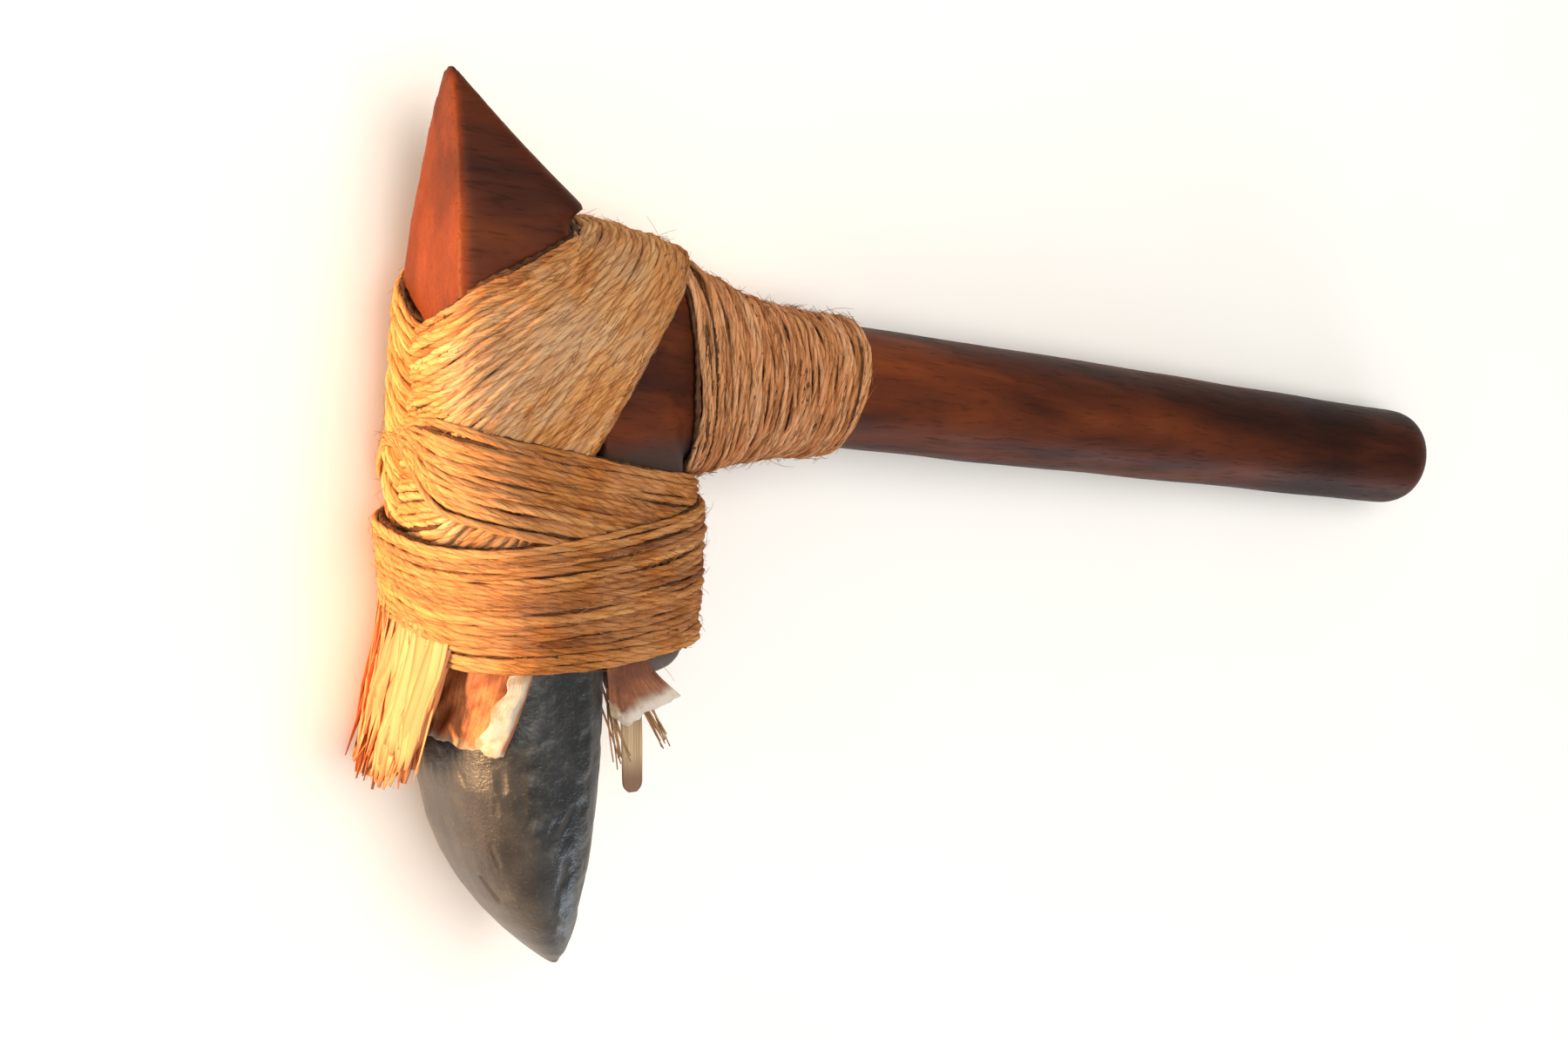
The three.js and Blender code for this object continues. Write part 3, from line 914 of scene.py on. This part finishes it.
BROWN_CORD = [
    (0.20, (0.145, 0.040, 0.008)),
    (0.38, (0.370, 0.116, 0.022)),
    (0.55, (0.560, 0.208, 0.046)),
    (0.72, (0.700, 0.312, 0.085)),
    (0.90, (0.780, 0.440, 0.160)),
]
BLEACHED_CORD = [
    (0.20, (0.240, 0.075, 0.018)),
    (0.36, (0.520, 0.200, 0.054)),
    (0.52, (0.690, 0.315, 0.100)),
    (0.70, (0.760, 0.415, 0.165)),
    (0.88, (0.800, 0.540, 0.280)),
]
# painted light: the collar's cord is the bleached cord made lighter, to offset the shade between its close turns
COLLAR_LIGHTENED_CORD = [(place, (1.12 * r, 1.08 * g, 1.35 * b)) for place, (r, g, b) in BLEACHED_CORD]
# painted shade: the under layer's dark colour stands for the shade in the gaps between the turns above it
UNDER_SHADE_CORD = [(0.3, (0.070, 0.028, 0.010)), (0.7, (0.190, 0.085, 0.032))]


def cord_finish(name, stops, greying, painted_front_light):
    cord = Finish(name)
    place = cord.place()
    lay = cord.node("ShaderNodeAttribute", {"attribute_name": "lay"}, {}, 1)
    shade = cord.node("ShaderNodeAttribute", {"attribute_name": "shade"}, {}, 2)
    along = cord.node("ShaderNodeSeparateXYZ", {}, {0: lay}, 0)
    c = cord.node("ShaderNodeSeparateXYZ", {}, {0: lay}, 1)
    s = cord.node("ShaderNodeSeparateXYZ", {}, {0: lay}, 2)
    seam = cord.rise(s * s - c * c, 0.55, 0.99)
    broad = cord.node("ShaderNodeCombineXYZ", {}, {0: along * 110, 1: c * 2.2, 2: s * 2.2})
    thin = cord.node("ShaderNodeCombineXYZ", {}, {0: along * 115, 1: c * 7.5, 2: s * 7.5})
    tone = cord.cloud(broad, 1.0, 3, 0.6)
    fibre = cord.cloud(thin, 1.0, 3, 0.65)
    patches = cord.cloud(place, 38, 4, 0.6)
    dust = cord.cloud(place, 120, 3, 0.6)
    mixed = shade * 0.42 + tone * 0.42 + fibre * 0.66 + patches * 0.30 - 0.40
    colour = cord.ramp(mixed, stops)
    height = cord.node("ShaderNodeSeparateXYZ", {}, {0: place}, 2)
    # partly dust and partly painted light: the cord is greyed where it lies highest, towards the light from above
    dust_and_painted_top_light = cord.rise(patches * 0.6 + dust * 0.4, 0.40, 0.60) * cord.rise(height, 0.042, 0.064)
    colour = cord.blend(dust_and_painted_top_light * greying, colour, rgb(0.62, 0.41, 0.25))
    x = cord.node("ShaderNodeSeparateXYZ", {}, {0: place}, 0)
    # painted light: the front of the lashing is blended towards gold where the warm front lamp falls
    colour = cord.blend(cord.rise(x, -0.150, -0.172) * painted_front_light, colour, rgb(0.80, 0.52, 0.23))
    # painted shade: the seam between the plies and the slits between fibres are darkened in colour, where shade falls
    # in the grooves
    slit = cord.rise(fibre, 0.40, 0.31)
    gap = seam * 0.5 + slit * (1 - seam * 0.5) * 0.8
    colour = cord.tint(gap, colour, rgb(0.42, 0.25, 0.14))
    cord.fill(cord.surface, {
        "Base Color": colour,
        "Roughness": 0.66 + fibre * 0.25,
        "Normal": cord.bump(fibre * 0.9 + tone * 0.5 - gap * 0.9, 0.85, 0.0006),
        "Specular IOR Level": 0.25,
    })
    return cord.material


brown_cord = cord_finish("brown_plant_cord", BROWN_CORD, 0.20, 0.28)
bleached_cord = cord_finish("bleached_plant_cord", BLEACHED_CORD, 0.60, 0.0)
collar_lightened_cord = cord_finish("collar_cord_painted_light", COLLAR_LIGHTENED_CORD, 0.30, 0.0)
under_shade_cord = cord_finish("under_cord_painted_shade", UNDER_SHADE_CORD, 0.0, 0.0)
dressed(fan, bleached_cord, "lashing", slot="cord")
dressed(collar, collar_lightened_cord, slot="cord")
dressed(cross, brown_cord, slot="cord")
dressed(foot, brown_cord, slot="cord")
dressed(underlay, under_shade_cord, slot="cord")

# %% [markdown]
# Plant cord is hairy. Most of its loose fibres cling to the turn that they come from and only break its smooth
# edge; a few stand out and bend back. Each is a short thin curve that starts on a turn and runs roughly along it.

# %% Loose fibres on the cord
CLINGING = 3000
STANDING = 160
HAIR_RADIUS = 0.085
HAIR_POINTS = 5

hair_outline = cord_outline("hair_outline", 3, 0.0)


def loose_fibre(strand, long, stand, stray):
    """One fibre that leaves a turn of cord at a random place."""
    path = strand["path"]
    j = int(rng.integers(2, len(path) - 3))
    ahead = path[j + 1] - path[j - 1]
    ahead = ahead / np.linalg.norm(ahead) * rng.choice([-1, 1])
    out = path[j] - path.mean(axis=0)
    out = out - ahead * (out @ ahead)
    out /= np.linalg.norm(out)
    side = np.cross(ahead, out)
    lean = rng.normal(0, stray)
    at = np.linspace(0, 1, HAIR_POINTS)[:, None]
    root = path[j] + out * strand["radius"][j] * 0.85 + side * rng.normal(0, 0.5)
    run = root + long * at * (ahead + side * lean) + out * stand * at * (1.6 - at) + side * rng.normal(0, 0.5) * at ** 2
    return {
        "path": run, "radius": HAIR_RADIUS * np.linspace(1.2, 0.5, HAIR_POINTS), "tilt": np.zeros(HAIR_POINTS),
        "ring": False, "shade": np.full(HAIR_POINTS, rng.uniform(0.3, 1)), "offset": rng.uniform(0, 5),
    }


def loose_fibres(strands):
    def some(count, long, stand, lean):
        return [
            loose_fibre(strands[rng.integers(len(strands))], rng.uniform(*long), rng.uniform(*stand), lean)
            for _ in range(count)
        ]

    return some(CLINGING, (4, 10), (0.1, 0.6), 0.14) + some(STANDING, (3, 8), (1.2, 4.0), 0.8)


hairs = swept("lashing_fibres", loose_fibres(fan_turns + cross_turns + foot_turns + collar_turns), hair_outline)
dressed(hairs, brown_cord, slot="cord")

# %% [markdown]
# Dry leaf and raw fibre pad the stone under the cord and come out below it. A leaf is a grid laid on the stone by
# feeling for its surface, then crumpled and given a thickness. Its coordinates across and down are kept as an
# attribute, so that the torn edges can be pale.

# %% Laying a sheet
HELD_Y = -80.0


def on_stone(angle, y, off):
    """A point off the stone's surface at this angle round it and this height."""
    axis = Vector((20, y, 0))
    aim = Vector((math.cos(angle), 0, math.sin(angle)))
    hit = stone_feel.ray_cast(axis + aim * 90, -aim, 90)
    reach = (hit[0] - axis).length if hit[0] else 20
    return np.array(axis + aim * (reach + off))


def laid_sheet(name, columns, rows, shape, thick):
    """A grid whose every point is placed by shape(u, v), with a thickness and rounded folds."""
    bpy.ops.object.select_all(action="DESELECT")
    bpy.ops.mesh.primitive_grid_add(x_subdivisions=columns, y_subdivisions=rows, size=1)
    piece = bpy.context.view_layer.objects.active
    piece.name = name
    flat = corners(piece)
    u, v = flat[:, 0] + 0.5, 0.5 - flat[:, 1]
    put_back(piece, lay_down([shape(a, b) for a, b in zip(u, v)]))
    layer = piece.data.attributes.new("sheet", "FLOAT_VECTOR", "POINT")
    layer.data.foreach_set("vector", np.stack([u, v, np.zeros(len(u))], 1).ravel())
    modified(piece, "SOLIDIFY", thickness=thick * MM, offset=0)
    modified(piece, "SUBSURF", levels=1, render_levels=1)
    return piece


def crumple(u, v, scale, seed):
    return noise.noise(Vector((u * scale + seed, v * scale * 0.6, seed * 2.0)))


print("sheets hang from y", HELD_Y)

# %% Leaf finish


def leaf_finish(name, edge_from, low_from, stops, pale):
    leaf = Finish(name)
    place = leaf.place()
    sheet = leaf.node("ShaderNodeAttribute", {"attribute_name": "sheet"}, {}, 1)
    u = leaf.node("ShaderNodeSeparateXYZ", {}, {0: sheet}, 0)
    v = leaf.node("ShaderNodeSeparateXYZ", {}, {0: sheet}, 1)
    veins = leaf.cloud(leaf.mapped(sheet, (60, 3, 1)), 1.0, 4, 0.6)
    mottle = leaf.cloud(place, 110, 5, 0.62)
    blotch = leaf.cloud(place, 45, 3, 0.5)
    colour = leaf.ramp(veins * 0.4 + mottle * 0.6, stops)
    colour = leaf.tint(leaf.rise(blotch, 0.50, 0.64) * 0.5, colour, rgb(0.35, 0.28, 0.25))
    ragged = mottle * 0.16 - 0.08
    right_edge = leaf.rise(u + ragged * 0.3, edge_from, edge_from + 0.04)
    lower_edge = leaf.rise(v + ragged * 1.4, low_from, low_from + 0.09)
    edge = right_edge + lower_edge * (1 - right_edge)
    colour = leaf.blend(edge * 0.85, colour, leaf.blend(leaf.rise(mottle, 0.40, 0.62), pale, rgb(0.30, 0.22, 0.13)))
    leaf.fill(leaf.surface, {
        "Base Color": colour,
        "Roughness": 0.55 + mottle * 0.25,
        "Normal": leaf.bump(veins * 0.7 + mottle * 0.5, 0.5, 0.0006),
        "Specular IOR Level": 0.4,
    })
    return leaf.material


front_stops = [(0.34, (0.130, 0.036, 0.012)), (0.50, (0.330, 0.100, 0.030)), (0.64, (0.560, 0.230, 0.075))]
back_stops = [(0.34, (0.080, 0.022, 0.009)), (0.50, (0.210, 0.066, 0.026)), (0.66, (0.360, 0.160, 0.075))]
front_leaf_finish = leaf_finish("dry_leaf_red", 0.78, 0.92, front_stops, rgb(0.46, 0.45, 0.37))
back_leaf_finish = leaf_finish("dry_leaf_brown", 1.2, 0.84, back_stops, rgb(0.66, 0.60, 0.52))
print("leaf finishes ready")

# %% Leaves
LEAF_THICK = 0.5
FOLD_U = 0.74


def front_leaf_shape(u, v):
    """A slanting leaf whose right edge is folded back over it."""
    left = lerp(168, 180, v)
    edge = 101 + 15 * max(0, (v - 0.25) / 0.75) ** 1.3
    turned = float(smooth(u, FOLD_U, 1))
    across = min(u / FOLD_U, 1) - turned * (lerp(0.12, 0.20, v) + 0.05 * crumple(v, 0, 7, 5))
    ragged = 1.6 * crumple(u, 0, 9, 1) + 1.4 * crumple(u, 0, 22, 2)
    drop = v * (35 - 3.0 * (1 - across) ** 2 + ragged * v - 1.5 * turned)
    aslant = across + 0.7 * v
    crease = 4.2 * abs(crumple(aslant, v * 0.5, 4.0, 3)) + 1.8 * crumple(aslant, v, 9, 4)
    stand = 0.9 + v * crease + 2.0 * v * v + 2.4 * float(smooth(u, FOLD_U - 0.05, FOLD_U + 0.12))
    return on_stone(math.radians(lerp(left, edge, across)), HELD_Y - drop, stand)


def back_leaf_shape(u, v):
    """A leaf end on the near side of the toe: a point below, and another drawn out to the back."""
    flare = max(0, (v - 0.62) / 0.38)
    x = lerp(41.8, lerp(58, 55.4, min(1, v / 0.62)) + 9.7 * flare ** 1.2, u)
    low = np.interp(u, [0, 0.22, 0.5, 1], [-111.5, -116, -112.2, -109.2]) + 1.0 * crumple(u, 0, 14, 7)
    y = lerp(HELD_Y, low, v)
    fold = 1.6 * v * abs(crumple(u, v * 0.6, 4, 8)) + 2.6 * v ** 3 + 0.7 * v * crumple(u, v, 10, 9)
    return np.array([x, y, 22.3 + fold])


front_leaf = laid_sheet("leaf_front", 44, 30, front_leaf_shape, LEAF_THICK)
dressed(front_leaf, front_leaf_finish, "leaf_pad_front", slot="dry_leaf")
back_leaf = laid_sheet("leaf_back", 30, 26, back_leaf_shape, LEAF_THICK)
dressed(back_leaf, back_leaf_finish, "leaf_pad_back", slot="dry_leaf")

# %% [markdown]
# The raw fibre at the front is the same plant before it is twisted: flat golden ribbons and threads that come out
# from under the cord and splay. They are swept like the cord, with a flat outline.

# %% Raw fibre
RIBBONS = 380
TUFT_DROP = 56
TUFT_SPREAD = 12
NEAR_SWEEP = 6

ribbon_outline = cord_outline("ribbon_outline", 6, 0.0, 0.10)


def fibre_strands(count):
    strands = []
    for _ in range(count):
        u = rng.uniform(0, 1)
        depth = rng.uniform(0, 1)
        angle = math.radians(lerp(238, 139, u))
        long = TUFT_DROP * rng.uniform(0.60, 1.0) * (1 - 0.18 * u)
        sway = rng.normal(0, 0.10)
        start = on_stone(angle, HELD_Y, 2 + 3.6 * depth)
        at = np.linspace(0, 1, 9)
        x = start[0] - TUFT_SPREAD * (at * long / TUFT_DROP) ** 1.4 * lerp(0.6, 1.1, depth) + wander(9, 2, 0.8) * at
        x -= NEAR_SWEEP * u ** 2 * at
        y = HELD_Y + 4 - at * (long + 4)
        z = start[2] + sway * at * long + wander(9, 2, 0.4) * at - NEAR_SWEEP * u ** 2 * at
        wide = rng.choice([0.4, 1.0, 2.1, 3.2], p=[0.22, 0.20, 0.28, 0.30])
        taper = np.interp(at, [0, 0.75, 1], [1, 0.9, 0.25])
        strands.append({
            "path": np.stack([x, y, z], 1), "radius": wide * taper,
            "tilt": angle + math.pi / 2 + rng.normal(0, 0.22) + at * rng.normal(0, 0.6), "ring": False,
            "shade": np.full(9, rng.uniform(0, 1)), "offset": rng.uniform(0, 5),
        })
    return strands


def raw_fibre_finish():
    fibre = Finish("raw_golden_fibre")
    lay = fibre.node("ShaderNodeAttribute", {"attribute_name": "lay"}, {}, 1)
    shade = fibre.node("ShaderNodeAttribute", {"attribute_name": "shade"}, {}, 2)
    streak = fibre.cloud(fibre.mapped(lay, (45, 11, 6)), 1.0, 4, 0.65)
    colour = fibre.ramp(streak * 0.55 + shade * 0.45, [
        (0.24, (0.50, 0.170, 0.052)),
        (0.48, (0.62, 0.215, 0.074)),
        (0.76, (0.72, 0.285, 0.112)),
    ])
    fibre.fill(fibre.surface, {
        "Base Color": colour,
        "Roughness": 0.45 + streak * 0.25,
        "Normal": fibre.bump(streak, 0.3, 0.0003),
        "Specular IOR Level": 0.45,
    })
    return fibre.material


STIFF_FIBRES = [((43.2, -106, 19), (47.8, -127, 21)), ((54.0, -106, 19.5), (60.2, -124, 22))]


def stiff_strands(count):
    """A few short stiff fibres that stick out beside the leaf at the back."""
    strands = []
    for k in range(count):
        start, end = (np.array(v) + rng.normal(0, 1.3, 3) * (1, 1.5, 0.4) for v in STIFF_FIBRES[k % 2])
        at = np.linspace(0, 1, 6)[:, None]
        bow = np.array([rng.normal(0, 1.2), 0, rng.normal(0, 0.6)])
        strands.append({
            "path": start + (end - start) * at + bow * at * (1 - at), "radius": 0.34 * np.linspace(1, 0.6, 6),
            "tilt": np.zeros(6), "ring": False, "shade": np.full(6, rng.uniform(0, 1)), "offset": rng.uniform(0, 5),
        })
    return strands


raw_golden_fibre = raw_fibre_finish()
stiff = swept("fibre_ends_back", stiff_strands(18), ribbon_outline)
dressed(stiff, bleached_cord, slot="raw_fibre")
tuft = swept("fibre_tuft_raw", fibre_strands(RIBBONS), ribbon_outline)
dressed(tuft, raw_golden_fibre, "fibre_tuft", slot="raw_fibre")

# %% [markdown]
# Between the stone and the toe hangs one flat strip of bast, pale with a browned end, which turns as it falls.

# %% Bast strip
STRIP_DROP = 58
STRIP_WIDE = 6.5


def strip_shape(u, v):
    y = HELD_Y - 2 - STRIP_DROP * v
    free = float(smooth(-103 - y, 0, 14))
    turn = math.radians(82 * free)
    rounded = math.sqrt(max(0.0, 1 - max(0.0, (v - 0.94) / 0.06) ** 2)) * 0.6 + 0.4
    across = (u - 0.5) * STRIP_WIDE * rounded
    bow = 0.6 * crumple(u, v, 4, 11)
    x = lerp(47.3, 54.2, free) + across * math.sin(turn) - bow
    return np.array([x, y, 12 + 2 * free + across * math.cos(turn)])


def bast_finish():
    bast = Finish("pale_bast")
    sheet = bast.node("ShaderNodeAttribute", {"attribute_name": "sheet"}, {}, 1)
    v = bast.node("ShaderNodeSeparateXYZ", {}, {0: sheet}, 1)
    streak = bast.cloud(bast.mapped(sheet, (26, 2, 1)), 1.0, 5, 0.65)
    colour = bast.ramp(streak, [(0.30, (0.26, 0.15, 0.075)), (0.52, (0.46, 0.32, 0.18)), (0.72, (0.64, 0.49, 0.32))])
    brown = bast.rise(v + streak * 0.12, 0.84, 1.0)
    colour = bast.blend(brown * 0.85, colour, rgb(0.16, 0.075, 0.040))
    bast.fill(bast.surface, {
        "Base Color": colour,
        "Roughness": 0.5 + streak * 0.25,
        "Normal": bast.bump(streak, 0.5, 0.0004),
    })
    return bast.material


pale_bast = bast_finish()
strip = laid_sheet("bast_strip_pale", 10, 40, strip_shape, 0.9)
dressed(strip, pale_bast, "bast_strip", slot="bast")

# %% [markdown]
# The outlines that were swept along the cords are tools, not parts of the adze, so they are removed. A plain pale
# floor catches the soft shadow.

# %% Floor
FLOOR_SIZE = 8.0

for tool in (two_ply, under_ply, hair_outline, ribbon_outline):
    bpy.data.objects.remove(tool)


def floor_finish():
    pale = Finish("pale_floor")
    place = pale.place()
    cloud = pale.cloud(place, 6, 3)
    pale.fill(pale.surface, {
        "Base Color": pale.ramp(cloud, [(0.3, (0.86, 0.86, 0.85)), (0.7, (0.89, 0.89, 0.88))]),
        "Roughness": 0.8 + cloud * 0.1,
    })
    return pale.material


bpy.ops.object.select_all(action="DESELECT")
bpy.ops.mesh.primitive_plane_add(size=FLOOR_SIZE)
floor = bpy.context.view_layer.objects.active
floor.name = "floor"
floor.data.materials.append(floor_finish())
print("floor laid")
